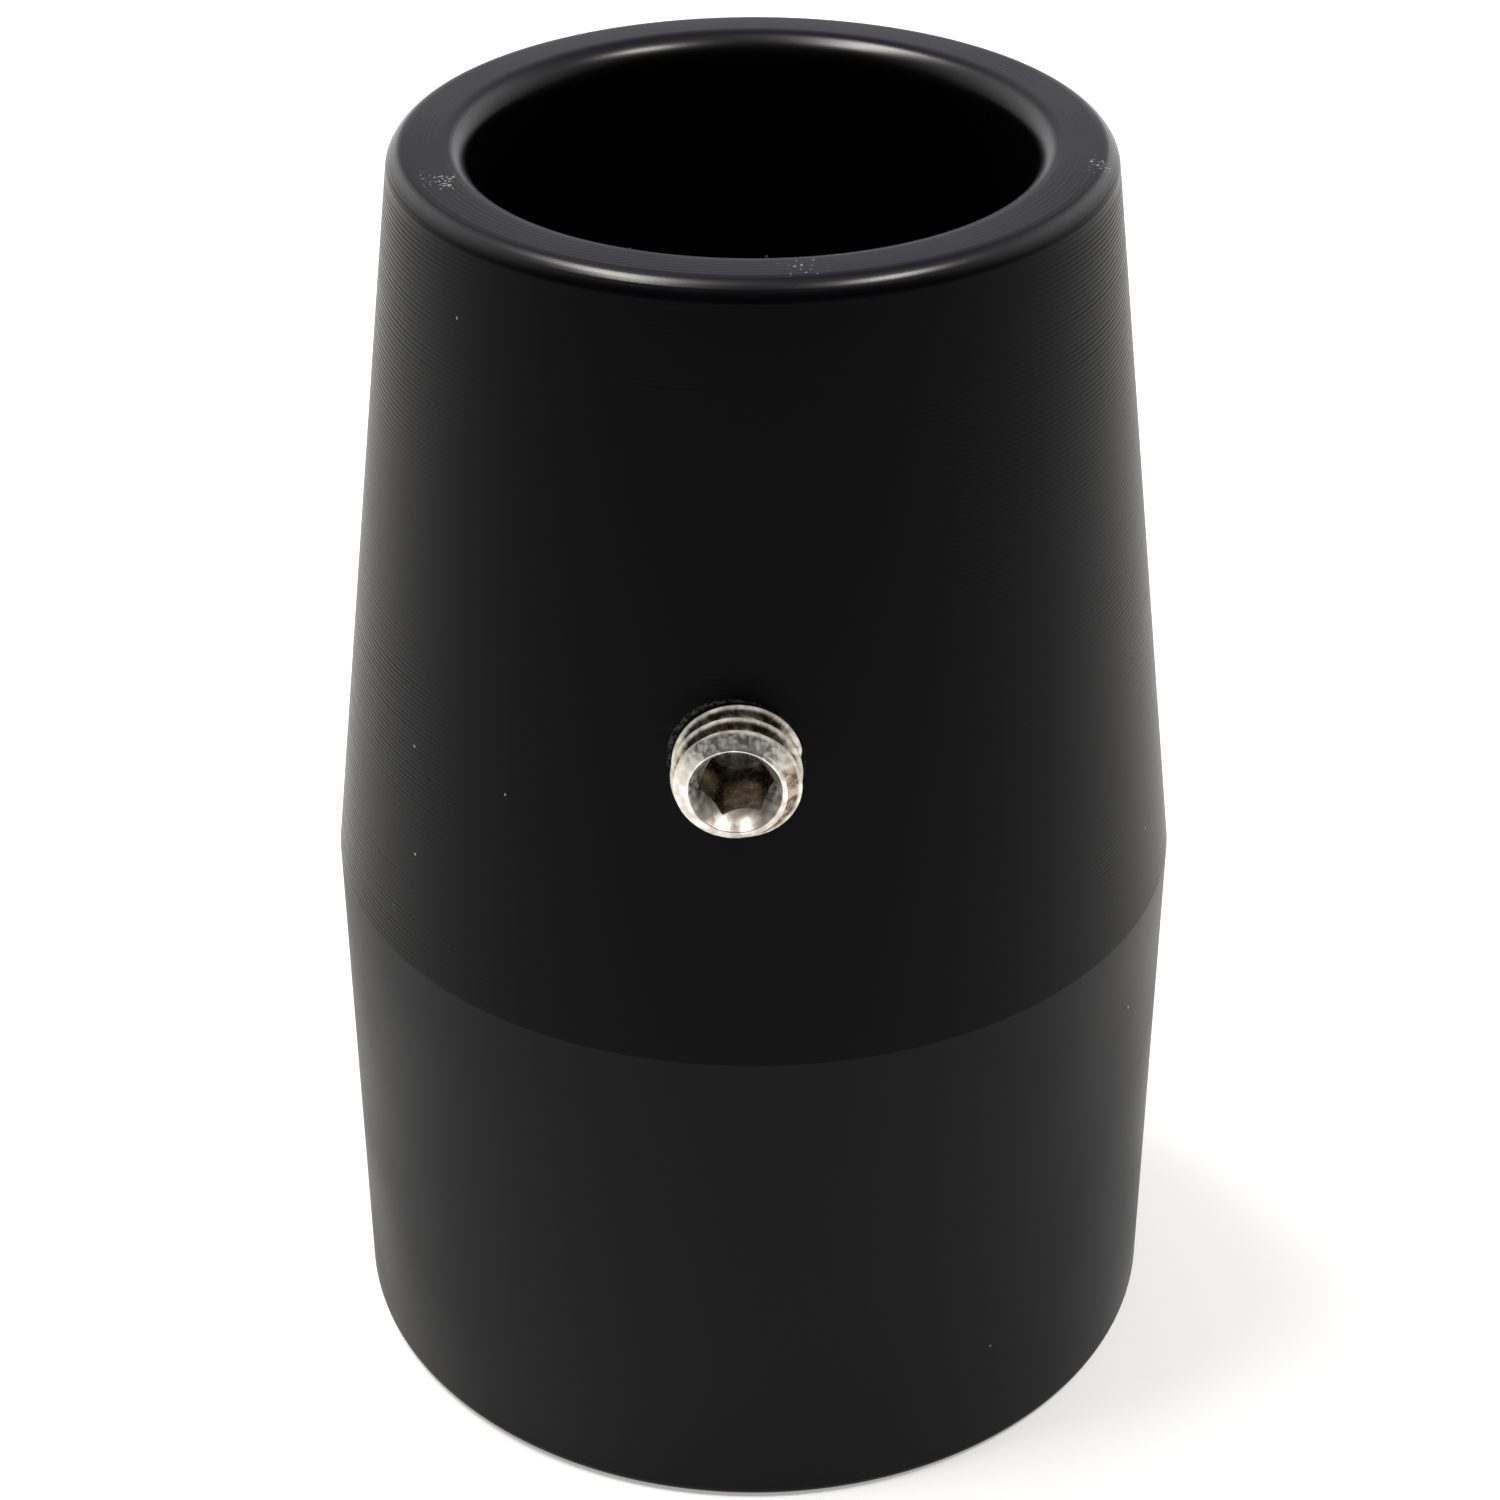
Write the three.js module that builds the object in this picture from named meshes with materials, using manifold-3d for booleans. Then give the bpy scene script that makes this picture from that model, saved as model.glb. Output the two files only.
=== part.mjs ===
// A snoot: a thick turned sleeve that slides over a lamp's barrel and narrows its beam. The lower half is
// straight, the upper half tapers to a rounded mouth, and one hex-socket set screw through the taper's wall
// grips what is in the bore.
//
// Millimetres, +Z up. The origin is on the bore's axis, in the plane of the base face. The mouth is at the
// top, and the set screw points along -Y, the front.

import * as THREE from 'three';
import { mergeVertices } from 'three/addons/utils/BufferGeometryUtils.js';
import Module from 'manifold-3d';

// ---- Sleeve ----
const BAR_RADIUS = 28.575; // 2 1/4 in round bar
const SLEEVE_HEIGHT = 86.8;
const SHOULDER_HEIGHT = 37; // where the straight barrel ends and the taper starts
const TAPER_ANGLE = THREE.MathUtils.degToRad(7.07); // each side, from the axis
const BORE_RADIUS = 17.4625; // 1 3/8 in bore, right through
const MOUTH_OUTER_FILLET = 1.45;
const MOUTH_INNER_FILLET = 1.8;
const BASE_OUTER_FILLET = 0.8;
const BASE_INNER_FILLET = 0.5;
const SLEEVE_SEGMENTS = 96;
const FILLET_DIVISIONS = 2;

// ---- Set screw: 5/16-18 UNC, 3/8 in long ----
const SCREW_HEIGHT = 57.6; // of its axis above the base face
const SCREW_END = 29.27; // how far its outer end stands from the bore's axis
const SCREW_LENGTH = 9.525;
const SCREW_RADIUS = 3.92; // over the thread crests
const THREAD_PITCH = 25.4 / 18;
const THREAD_DEPTH = 0.6134 * THREAD_PITCH;
const THREAD_START = THREE.MathUtils.degToRad(-72); // turns the crests round to where they lie at rest
const CREST_WIDTH = THREAD_PITCH / 8;
const ROOT_WIDTH = THREAD_PITCH / 4;
const END_RIDGE_RADIUS = 0.72 * SCREW_RADIUS; // where the outer bevel meets the socket's countersink
const END_BEVEL_ANGLE = THREE.MathUtils.degToRad(30); // from the end plane
const TIP_RADIUS = 0.6 * SCREW_RADIUS; // flat point
const TIP_BEVEL_ANGLE = THREE.MathUtils.degToRad(45);
const SOCKET_ACROSS_FLATS = 25.4 * 5 / 32;
const SOCKET_DEPTH = 5.7;
const SOCKET_TURN = THREE.MathUtils.degToRad(9); // of a corner from +X, anticlockwise seen from outside
const COUNTERSINK_ANGLE = THREE.MathUtils.degToRad(31); // half of the cone's angle
const DRILL_POINT_ANGLE = THREE.MathUtils.degToRad(59); // half of the pilot drill's point
const SCREW_SEGMENTS = 36;

// ---- Fits ----
const THREAD_GAP = 0.3; // the hole's wall stands clear of the screw's crests
const OVERLAP = 0.3; // how far a joined or cutting solid reaches into or past its neighbour

const wasm = await Module();
wasm.setup();

/** A closed three.js geometry as a solid that can be joined and cut. */
function solidOf(geometry) {
  const bare = new THREE.BufferGeometry();
  bare.setAttribute('position', geometry.getAttribute('position').clone());
  if (geometry.index) bare.setIndex(geometry.index.clone());
  const merged = mergeVertices(bare, 1e-5);
  return new wasm.Manifold(new wasm.Mesh({
    numProp: 3,
    vertProperties: new Float32Array(merged.getAttribute('position').array),
    triVerts: new Uint32Array(merged.index.array),
  }));
}

/** The solid as a three.js geometry with flat-shaded normals. */
function geometryOf(solid) {
  const mesh = solid.getMesh();
  const indexed = new THREE.BufferGeometry();
  indexed.setAttribute('position', new THREE.BufferAttribute(mesh.vertProperties, 3));
  indexed.setIndex(new THREE.BufferAttribute(mesh.triVerts, 1));
  const geometry = indexed.toNonIndexed();
  geometry.computeVertexNormals();
  return geometry;
}

/** Turns an outline of (radius, height) points round the Z axis. */
function turned(outline, segments) {
  return new THREE.LatheGeometry(outline, segments).rotateX(Math.PI / 2);
}

/** The sleeve's section, anticlockwise from the foot of the outer wall and back to it. */
function sleeveOutline() {
  const taper = Math.tan(TAPER_ANGLE);
  const filletHeight = SLEEVE_HEIGHT - MOUTH_OUTER_FILLET;
  const taperRadius = BAR_RADIUS - (filletHeight - SHOULDER_HEIGHT) * taper;
  const filletCentre = taperRadius - MOUTH_OUTER_FILLET / Math.cos(TAPER_ANGLE);
  const quarter = Math.PI / 2;

  const outline = new THREE.Path();
  outline.moveTo(BAR_RADIUS, BASE_OUTER_FILLET);
  outline.lineTo(BAR_RADIUS, SHOULDER_HEIGHT);
  outline.absarc(filletCentre, filletHeight, MOUTH_OUTER_FILLET, TAPER_ANGLE, quarter);
  outline.absarc(
    BORE_RADIUS + MOUTH_INNER_FILLET, SLEEVE_HEIGHT - MOUTH_INNER_FILLET,
    MOUTH_INNER_FILLET, quarter, 2 * quarter,
  );
  outline.absarc(
    BORE_RADIUS + BASE_INNER_FILLET, BASE_INNER_FILLET,
    BASE_INNER_FILLET, 2 * quarter, 3 * quarter,
  );
  outline.absarc(
    BAR_RADIUS - BASE_OUTER_FILLET, BASE_OUTER_FILLET,
    BASE_OUTER_FILLET, 3 * quarter, 4 * quarter,
  );
  return outline.getPoints(FILLET_DIVISIONS);
}

/** The helix that the thread's crest follows, up the Z axis, with its section kept square to that axis. */
class ThreadHelix extends THREE.Curve {
  constructor(radius, pitch, turns) {
    super();
    this.radius = radius;
    this.pitch = pitch;
    this.turns = turns;
  }

  getPoint(t, target = new THREE.Vector3()) {
    const angle = 2 * Math.PI * this.turns * t;
    const height = this.pitch * this.turns * t;
    return target.set(this.radius * Math.cos(angle), this.radius * Math.sin(angle), height);
  }

  getPointAt(t, target) {
    return this.getPoint(t, target);
  }

  computeFrenetFrames(segments) {
    const frames = { tangents: [], normals: [], binormals: [] };
    for (let i = 0; i <= segments; i++) {
      const angle = 2 * Math.PI * this.turns * i / segments;
      frames.tangents.push(new THREE.Vector3(-Math.sin(angle), Math.cos(angle), 0));
      frames.normals.push(new THREE.Vector3(Math.cos(angle), Math.sin(angle), 0));
      frames.binormals.push(new THREE.Vector3(0, 0, -1));
    }
    return frames;
  }
}

/** A right-hand threaded rod along +Z from the origin, longer than the screw at both ends. */
function threadedRod() {
  const turns = Math.ceil(SCREW_LENGTH / THREAD_PITCH) + 3;
  const rootHalf = (THREAD_PITCH - ROOT_WIDTH) / 2;
  const ridge = new THREE.Shape([
    new THREE.Vector2(-THREAD_DEPTH - OVERLAP, -rootHalf),
    new THREE.Vector2(-THREAD_DEPTH, -rootHalf),
    new THREE.Vector2(0, -CREST_WIDTH / 2),
    new THREE.Vector2(0, CREST_WIDTH / 2),
    new THREE.Vector2(-THREAD_DEPTH, rootHalf),
    new THREE.Vector2(-THREAD_DEPTH - OVERLAP, rootHalf),
  ]);
  const thread = new THREE.ExtrudeGeometry(ridge, {
    steps: turns * SCREW_SEGMENTS,
    bevelEnabled: false,
    extrudePath: new ThreadHelix(SCREW_RADIUS, THREAD_PITCH, turns),
  });
  const rodLength = turns * THREAD_PITCH;
  const core = new THREE.CylinderGeometry(
    SCREW_RADIUS - THREAD_DEPTH, SCREW_RADIUS - THREAD_DEPTH, rodLength, SCREW_SEGMENTS,
  ).rotateX(Math.PI / 2).translate(0, 0, rodLength / 2);
  return solidOf(thread).add(solidOf(core));
}

/** The bevelled envelope of the screw, tip at z = 0 and outer end at z = SCREW_LENGTH. */
function screwBlank() {
  const wide = SCREW_RADIUS + OVERLAP;
  const tipBevel = (wide - TIP_RADIUS) * Math.tan(TIP_BEVEL_ANGLE);
  const endBevel = (wide - END_RIDGE_RADIUS) * Math.tan(END_BEVEL_ANGLE);
  return solidOf(turned([
    new THREE.Vector2(0, 0),
    new THREE.Vector2(TIP_RADIUS, 0),
    new THREE.Vector2(wide, tipBevel),
    new THREE.Vector2(wide, SCREW_LENGTH - endBevel),
    new THREE.Vector2(END_RIDGE_RADIUS, SCREW_LENGTH),
    new THREE.Vector2(0, SCREW_LENGTH),
  ], SCREW_SEGMENTS));
}

/** The hexagon socket with its countersunk mouth and drilled bottom, cut from the outer end. */
function socket() {
  const cornerRadius = SOCKET_ACROSS_FLATS / Math.sqrt(3);
  const cornerToX = Math.PI / 6; // a six-sided cylinder has its flats, not its corners, towards X
  const hexagon = new THREE.CylinderGeometry(cornerRadius, cornerRadius, SOCKET_DEPTH + OVERLAP, 6)
    .rotateX(Math.PI / 2)
    .rotateZ(cornerToX + SOCKET_TURN)
    .translate(0, 0, SCREW_LENGTH - (SOCKET_DEPTH - OVERLAP) / 2);
  const flatRadius = SOCKET_ACROSS_FLATS / 2;
  const bottom = SCREW_LENGTH - SOCKET_DEPTH;
  const drilled = turned([
    new THREE.Vector2(0, bottom - flatRadius / Math.tan(DRILL_POINT_ANGLE)),
    new THREE.Vector2(flatRadius, bottom),
    new THREE.Vector2(flatRadius, bottom + OVERLAP),
    new THREE.Vector2(0, bottom + OVERLAP),
  ], SCREW_SEGMENTS);
  const mouthTop = END_RIDGE_RADIUS + OVERLAP * Math.tan(COUNTERSINK_ANGLE);
  const countersink = turned([
    new THREE.Vector2(0, SCREW_LENGTH - END_RIDGE_RADIUS / Math.tan(COUNTERSINK_ANGLE)),
    new THREE.Vector2(mouthTop, SCREW_LENGTH + OVERLAP),
    new THREE.Vector2(0, SCREW_LENGTH + OVERLAP),
  ], SCREW_SEGMENTS);
  return solidOf(hexagon).add(solidOf(drilled)).add(solidOf(countersink));
}

/** The set screw along +Z, tip at the origin. */
function setScrewSolid() {
  const runIn = Math.ceil(THREAD_DEPTH + THREAD_PITCH);
  const rod = threadedRod().rotate([0, 0, THREE.MathUtils.radToDeg(THREAD_START)]).translate([0, 0, -runIn]);
  return rod.intersect(screwBlank()).subtract(socket());
}

/** The sleeve with its screw hole cut through the front wall. */
function sleeveSolid() {
  const holeRadius = SCREW_RADIUS + THREAD_GAP;
  const hole = new THREE.CylinderGeometry(holeRadius, holeRadius, BAR_RADIUS, SCREW_SEGMENTS)
    .translate(0, -BAR_RADIUS / 2 - BORE_RADIUS / 2, SCREW_HEIGHT);
  return solidOf(turned(sleeveOutline(), SLEEVE_SEGMENTS)).subtract(solidOf(hole));
}

const blackAcetal = new THREE.MeshStandardMaterial({ color: 0x1a1a1c, roughness: 0.4, metalness: 0 });
const stainlessSteel = new THREE.MeshStandardMaterial({ color: 0xb9b2aa, roughness: 0.25, metalness: 1 });

const snootBody = new THREE.Mesh(geometryOf(sleeveSolid()), blackAcetal);
snootBody.name = 'snoot_body';

const setScrew = new THREE.Mesh(geometryOf(setScrewSolid()), stainlessSteel);
setScrew.name = 'set_screw';
setScrew.rotation.x = Math.PI / 2;
setScrew.position.set(0, -(SCREW_END - SCREW_LENGTH), SCREW_HEIGHT);

const snoot = new THREE.Group();
snoot.add(snootBody, setScrew);

export default snoot;
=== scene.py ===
# A snoot: a thick black plastic sleeve that slides over a lamp's barrel and narrows its beam, with one
# hex-socket set screw in its wall. Metres, +Z up; the bore's axis is Z, the base face is at z = 0, and the
# screw points along -Y, the front.

import math

import bpy
from mathutils import Matrix, Vector


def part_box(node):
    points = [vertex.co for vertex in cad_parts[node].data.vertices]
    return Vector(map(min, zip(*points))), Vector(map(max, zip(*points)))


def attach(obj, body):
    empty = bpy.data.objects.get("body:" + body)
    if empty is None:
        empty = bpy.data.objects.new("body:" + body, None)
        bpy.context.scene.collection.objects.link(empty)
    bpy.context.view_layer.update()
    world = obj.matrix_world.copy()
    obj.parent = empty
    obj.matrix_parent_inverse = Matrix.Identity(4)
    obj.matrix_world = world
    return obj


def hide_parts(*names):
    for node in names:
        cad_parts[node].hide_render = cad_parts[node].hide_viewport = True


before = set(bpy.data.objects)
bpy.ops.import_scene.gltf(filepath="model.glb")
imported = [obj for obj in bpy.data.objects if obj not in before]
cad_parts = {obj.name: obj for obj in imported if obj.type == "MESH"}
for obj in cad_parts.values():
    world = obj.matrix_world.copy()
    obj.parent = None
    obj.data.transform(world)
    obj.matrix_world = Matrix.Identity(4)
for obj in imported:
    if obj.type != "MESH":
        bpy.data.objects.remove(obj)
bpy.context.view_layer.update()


# ---- The thread of the set screw and of its hole ----
# A 5/16-18 UNC thread: rolled on the stainless screw, and tapped in the plastic sleeve a little larger, so
# that one tree makes both the screw's rod and the tool that cuts the hole.

MM = 0.001
INCH = 25.4 * MM
THREAD_PITCH = INCH / 18
THREAD_RADIUS = 3.92 * MM  # over the screw's crests
THREAD_DEPTH = 0.6134 * THREAD_PITCH  # of the unified thread's form
CREST_HALF_WIDTH = THREAD_PITCH / 16
ROOT_HALF_WIDTH = THREAD_PITCH / 12
THREAD_ROUNDING = 0.09 * MM  # of the crests and roots
THREAD_START = 0.104 * MM  # a crest's height above the screw's tip, on the screw's right-hand side
THREAD_TURNS = 16  # enough to reach past both ends of the screw and right through the wall
TURNS_BELOW_TIP = 5
CAP_TURNS = 1.5  # at each end of the rod, where the rows lack neighbours on one side
WELD_DISTANCE = 0.001 * MM  # points closer than this become one
SLIVER = 0.0001 * MM  # heights or points closer than this are the same
FULL_TURN = 2 * math.pi


def fill(tree, node, inputs):
    """Gives a node's sockets, found by name or number, a value, a link, or a list of links."""
    sockets = [socket for socket in node.inputs if socket.enabled]
    for key, value in inputs.items():
        socket = sockets[key] if isinstance(key, int) else next(s for s in sockets if s.name == key)
        for source in value if isinstance(value, list) else [value]:
            if isinstance(source, bpy.types.Node):
                source = next(output for output in source.outputs if output.enabled)
            if isinstance(source, bpy.types.NodeSocket):
                tree.links.new(source, socket)
            else:
                socket.default_value = source


def add(tree, kind, inputs=None, **settings):
    """Adds a node with its settings, and fills its inputs."""
    node = tree.nodes.new(kind)
    for name, value in settings.items():
        setattr(node, name, value)
    fill(tree, node, inputs or {})
    return node


def new_tree(name, **inputs):
    """A geometry tree with named inputs and one geometry output, and its group input node."""
    tree = bpy.data.node_groups.new(name, "GeometryNodeTree")
    kinds = {int: "NodeSocketInt", float: "NodeSocketFloat", str: "NodeSocketGeometry"}
    for key, value in inputs.items():
        label = key.replace("_", " ").capitalize()
        socket = tree.interface.new_socket(label, in_out="INPUT", socket_type=kinds[type(value)])
        if not isinstance(value, str):
            socket.default_value = value
    tree.interface.new_socket("Geometry", in_out="OUTPUT", socket_type="NodeSocketGeometry")
    return tree, tree.nodes.new("NodeGroupInput").outputs


# The rod's grid of points follows the helix: each row is one line along the thread, and a row that ends
# after one turn meets the row of the next turn. Past either end every point is gathered on the axis.
threaded_rod, given = new_tree(
    "threaded_rod",
    radius=THREAD_RADIUS,
    depth=THREAD_DEPTH,
    pitch=THREAD_PITCH,
    crest_half_width=CREST_HALF_WIDTH,
    root_half_width=ROOT_HALF_WIDTH,
    rounding=THREAD_ROUNDING,
    start=THREAD_START,
    turns=THREAD_TURNS,
    turns_below_tip=TURNS_BELOW_TIP,
    rows_per_turn=20,
    columns=72,
)
tree = threaded_rod
row_count = add(
    tree, "FunctionNodeIntegerMath", {0: given["Turns"], 1: given["Rows per turn"]}, operation="MULTIPLY"
)
points_up = add(tree, "FunctionNodeIntegerMath", {0: row_count, 1: 1})
points_round = add(tree, "FunctionNodeIntegerMath", {0: given["Columns"], 1: 1})
grid = add(tree, "GeometryNodeMeshGrid", {"Vertices X": points_round, "Vertices Y": points_up})
index = add(tree, "GeometryNodeInputIndex")
column = add(tree, "FunctionNodeIntegerMath", {0: index, 1: points_up}, operation="DIVIDE_FLOOR")
row = add(tree, "FunctionNodeIntegerMath", {0: index, 1: points_up}, operation="MODULO")
turn = add(tree, "ShaderNodeMath", {0: column, 1: given["Columns"]}, operation="DIVIDE")
phase = add(tree, "ShaderNodeMath", {0: row, 1: given["Rows per turn"]}, operation="DIVIDE")
rise = add(tree, "ShaderNodeMath", {0: turn, 1: phase})
below = add(tree, "ShaderNodeMath", {0: rise, 1: given["Turns below tip"]}, operation="SUBTRACT")
height = add(
    tree, "ShaderNodeMath", {0: below, 1: given["Pitch"], 2: given["Start"]}, operation="MULTIPLY_ADD"
)
along = add(tree, "ShaderNodeMath", {0: phase, 1: given["Pitch"]}, operation="MULTIPLY")
half_pitch = add(tree, "ShaderNodeMath", {0: given["Pitch"], 1: 2.0}, operation="DIVIDE")
from_crest = add(tree, "ShaderNodeMath", {0: along, 1: half_pitch}, operation="PINGPONG")
foot = add(tree, "ShaderNodeMath", {0: half_pitch, 1: given["Root half width"]}, operation="SUBTRACT")
flank = add(
    tree,
    "ShaderNodeMapRange",
    {"Value": from_crest, "From Min": foot, "From Max": given["Crest half width"], "To Max": given["Depth"]},
    clamp=False,
)
above_root = add(tree, "ShaderNodeMath", {0: flank, 1: 0.0, 2: given["Rounding"]}, operation="SMOOTH_MAX")
ridge = add(
    tree, "ShaderNodeMath", {0: above_root, 1: given["Depth"], 2: given["Rounding"]}, operation="SMOOTH_MIN"
)
root_radius = add(tree, "ShaderNodeMath", {0: given["Radius"], 1: given["Depth"]}, operation="SUBTRACT")
thread_radius = add(tree, "ShaderNodeMath", {0: root_radius, 1: ridge})
# The last turns at each end are gathered to a flat cap.
low_turn = add(tree, "ShaderNodeMath", {0: CAP_TURNS, 1: given["Turns below tip"]}, operation="SUBTRACT")
low = add(tree, "ShaderNodeMath", {0: low_turn, 1: given["Pitch"]}, operation="MULTIPLY")
high_turn = add(tree, "ShaderNodeMath", {0: low_turn, 1: given["Turns"]})
high_end = add(tree, "ShaderNodeMath", {0: high_turn, 1: 1 - 2 * CAP_TURNS})
high = add(tree, "ShaderNodeMath", {0: high_end, 1: given["Pitch"]}, operation="MULTIPLY")
kept = add(tree, "ShaderNodeClamp", {"Value": height, "Min": low, "Max": high})
is_kept = add(tree, "ShaderNodeMath", {0: kept, 1: height, 2: SLIVER}, operation="COMPARE")
radius = add(tree, "ShaderNodeMath", {0: thread_radius, 1: is_kept}, operation="MULTIPLY")
spoke = add(tree, "ShaderNodeCombineXYZ", {"X": radius, "Z": kept})
angle = add(tree, "ShaderNodeMath", {0: turn, 1: FULL_TURN}, operation="MULTIPLY")
place = add(tree, "ShaderNodeVectorRotate", {"Vector": spoke, "Angle": angle}, rotation_type="Z_AXIS")
placed = add(tree, "GeometryNodeSetPosition", {"Geometry": grid, "Position": place})
closed = add(tree, "GeometryNodeMergeByDistance", {"Geometry": placed, "Distance": WELD_DISTANCE})
add(tree, "NodeGroupOutput", {0: closed})


# ---- Turned shapes ----
# The sleeve and the screw's blank are both turned on a lathe, so one tree turns a section round the Z axis.
# Its columns can crowd towards the front, where the sleeve has its screw hole.

QUARTER_TURN = FULL_TURN / 4

turned, given = new_tree("turned", section="", columns=96, evenness=1.0)
tree = turned
size = add(tree, "GeometryNodeAttributeDomainSize", {"Geometry": given["Section"]}, component="CURVE")
points_up = add(tree, "FunctionNodeIntegerMath", {0: size, 1: 1})
points_round = add(tree, "FunctionNodeIntegerMath", {0: given["Columns"], 1: 1})
grid = add(tree, "GeometryNodeMeshGrid", {"Vertices X": points_round, "Vertices Y": points_up})
index = add(tree, "GeometryNodeInputIndex")
column = add(tree, "FunctionNodeIntegerMath", {0: index, 1: points_up}, operation="DIVIDE_FLOOR")
row = add(tree, "FunctionNodeIntegerMath", {0: index, 1: points_up}, operation="MODULO")
corner = add(tree, "FunctionNodeIntegerMath", {0: row, 1: size}, operation="MODULO")
spoke = add(
    tree,
    "GeometryNodeSampleIndex",
    {"Geometry": given["Section"], "Value": add(tree, "GeometryNodeInputPosition"), "Index": corner},
    data_type="FLOAT_VECTOR",
)
share = add(tree, "ShaderNodeMath", {0: column, 1: given["Columns"]}, operation="DIVIDE")
side = add(tree, "ShaderNodeMath", {0: share, 1: 2.0, 2: -1.0}, operation="MULTIPLY_ADD")
cube = add(tree, "ShaderNodeMath", {0: side, 1: 3.0}, operation="POWER")
spread = add(tree, "ShaderNodeMix", {"Factor": given["Evenness"], "A": cube, "B": side})
angle = add(
    tree, "ShaderNodeMath", {0: spread, 1: 2 * QUARTER_TURN, 2: -QUARTER_TURN}, operation="MULTIPLY_ADD"
)
place = add(tree, "ShaderNodeVectorRotate", {"Vector": spoke, "Angle": angle}, rotation_type="Z_AXIS")
placed = add(tree, "GeometryNodeSetPosition", {"Geometry": grid, "Position": place})
closed = add(tree, "GeometryNodeMergeByDistance", {"Geometry": placed, "Distance": WELD_DISTANCE})
add(tree, "NodeGroupOutput", {0: closed})


def section(tree, corners, fillet_steps):
    """Adds the nodes of a closed section through corners of (radius, height, fillet radius)."""
    line = add(tree, "GeometryNodeMeshLine", {"Count": len(corners)})
    index = add(tree, "GeometryNodeInputIndex")
    place = add(tree, "GeometryNodeIndexSwitch", {"Index": index}, data_type="VECTOR")
    fillet = add(tree, "GeometryNodeIndexSwitch", {"Index": index}, data_type="FLOAT")
    for number, (radius, height, rounding) in enumerate(corners):
        for switch in (place, fillet):
            if number >= 2:
                switch.index_switch_items.new()
        point = add(tree, "ShaderNodeCombineXYZ", {"X": radius, "Z": height})
        tree.links.new(point.outputs[0], place.inputs[str(number)])
        if isinstance(rounding, bpy.types.NodeSocket):
            tree.links.new(rounding, fillet.inputs[str(number)])
        else:
            fillet.inputs[str(number)].default_value = rounding
    outline = add(tree, "GeometryNodeSetPosition", {"Geometry": line, "Position": place})
    curve = add(tree, "GeometryNodeMeshToCurve", {"Mesh": outline})
    ring = add(tree, "GeometryNodeSetSplineCyclic", {"Geometry": curve, "Cyclic": True})
    return add(
        tree,
        "GeometryNodeFilletCurve",
        {"Curve": ring, "Count": fillet_steps, "Radius": fillet},
        mode="POLY",
    )


# ---- Sleeve ----
# The body of the snoot, turned and bored from 2 1/4 in round bar of black acetal. The straight half keeps
# the bar's own satin skin, and the taper and the mouth carry the rings of the turning tool.

sleeve_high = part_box("snoot_body")[1]
screw_low, screw_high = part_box("set_screw")
BAR_RADIUS = sleeve_high.x
SLEEVE_HEIGHT = sleeve_high.z
BORE_RADIUS = min(math.hypot(v.co.x, v.co.y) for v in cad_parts["snoot_body"].data.vertices)
SHOULDER_HEIGHT = 37 * MM
TAPER_ANGLE = math.radians(7.07)
MOUTH_RADIUS = BAR_RADIUS - (SLEEVE_HEIGHT - SHOULDER_HEIGHT) * math.tan(TAPER_ANGLE)
SCREW_HEIGHT = (screw_low.z + screw_high.z) / 2
SCREW_TIP = screw_high.y
HOLE_GAP = 0.1 * MM  # between the tapped hole's thread and the screw's
HOLE_EDGE = THREAD_RADIUS + HOLE_GAP
LIP_WIDTH = 1.5 * MM
LIP_HEIGHT = 0.12 * MM
HOLE_ZONE = 8 * MM  # this far above and below the screw the sleeve's rows are close together
COLUMN_EVENNESS = 0.25  # 1 spaces the sleeve's columns evenly, and less crowds them to the front
SLEEVE_SHARP_ANGLE = math.radians(6.5)  # the edge of the taper is the slightest edge that shows


def finished(tree, mesh, material, sharp_angle):
    """Ends a tree: smooth faces with edges sharp past an angle, instances realised, and the material set."""
    smooth = add(tree, "GeometryNodeSetShadeSmooth", {"Geometry": mesh, "Shade Smooth": True}, domain="FACE")
    turn = add(tree, "GeometryNodeInputMeshEdgeAngle")
    sharp = add(tree, "FunctionNodeCompare", {"A": turn, "B": sharp_angle}, operation="GREATER_THAN")
    edged = add(
        tree,
        "GeometryNodeSetShadeSmooth",
        {"Geometry": smooth, "Selection": sharp, "Shade Smooth": False},
        domain="EDGE",
    )
    real = add(tree, "GeometryNodeRealizeInstances", {"Geometry": edged})
    painted = add(tree, "GeometryNodeSetMaterial", {"Geometry": real, "Material": material})
    add(tree, "NodeGroupOutput", {0: painted})


def made(name, tree):
    """An object with the plain mesh that a tree gives for the sizes it was written with."""
    piece = bpy.data.objects.new(name, bpy.data.meshes.new(name + "_start"))
    bpy.context.scene.collection.objects.link(piece)
    modifier = piece.modifiers.new("build", "NODES")
    modifier.node_group = tree
    for socket in tree.interface.items_tree:
        if socket.in_out == "INPUT":
            modifier[socket.identifier] = socket.default_value
    evaluated = piece.evaluated_get(bpy.context.evaluated_depsgraph_get())
    mesh = bpy.data.meshes.new_from_object(evaluated)
    piece.modifiers.remove(modifier)
    piece.data = mesh
    mesh.name = name
    return piece


acetal = bpy.data.materials.new("black_acetal_turned")
acetal.use_nodes = True

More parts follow.
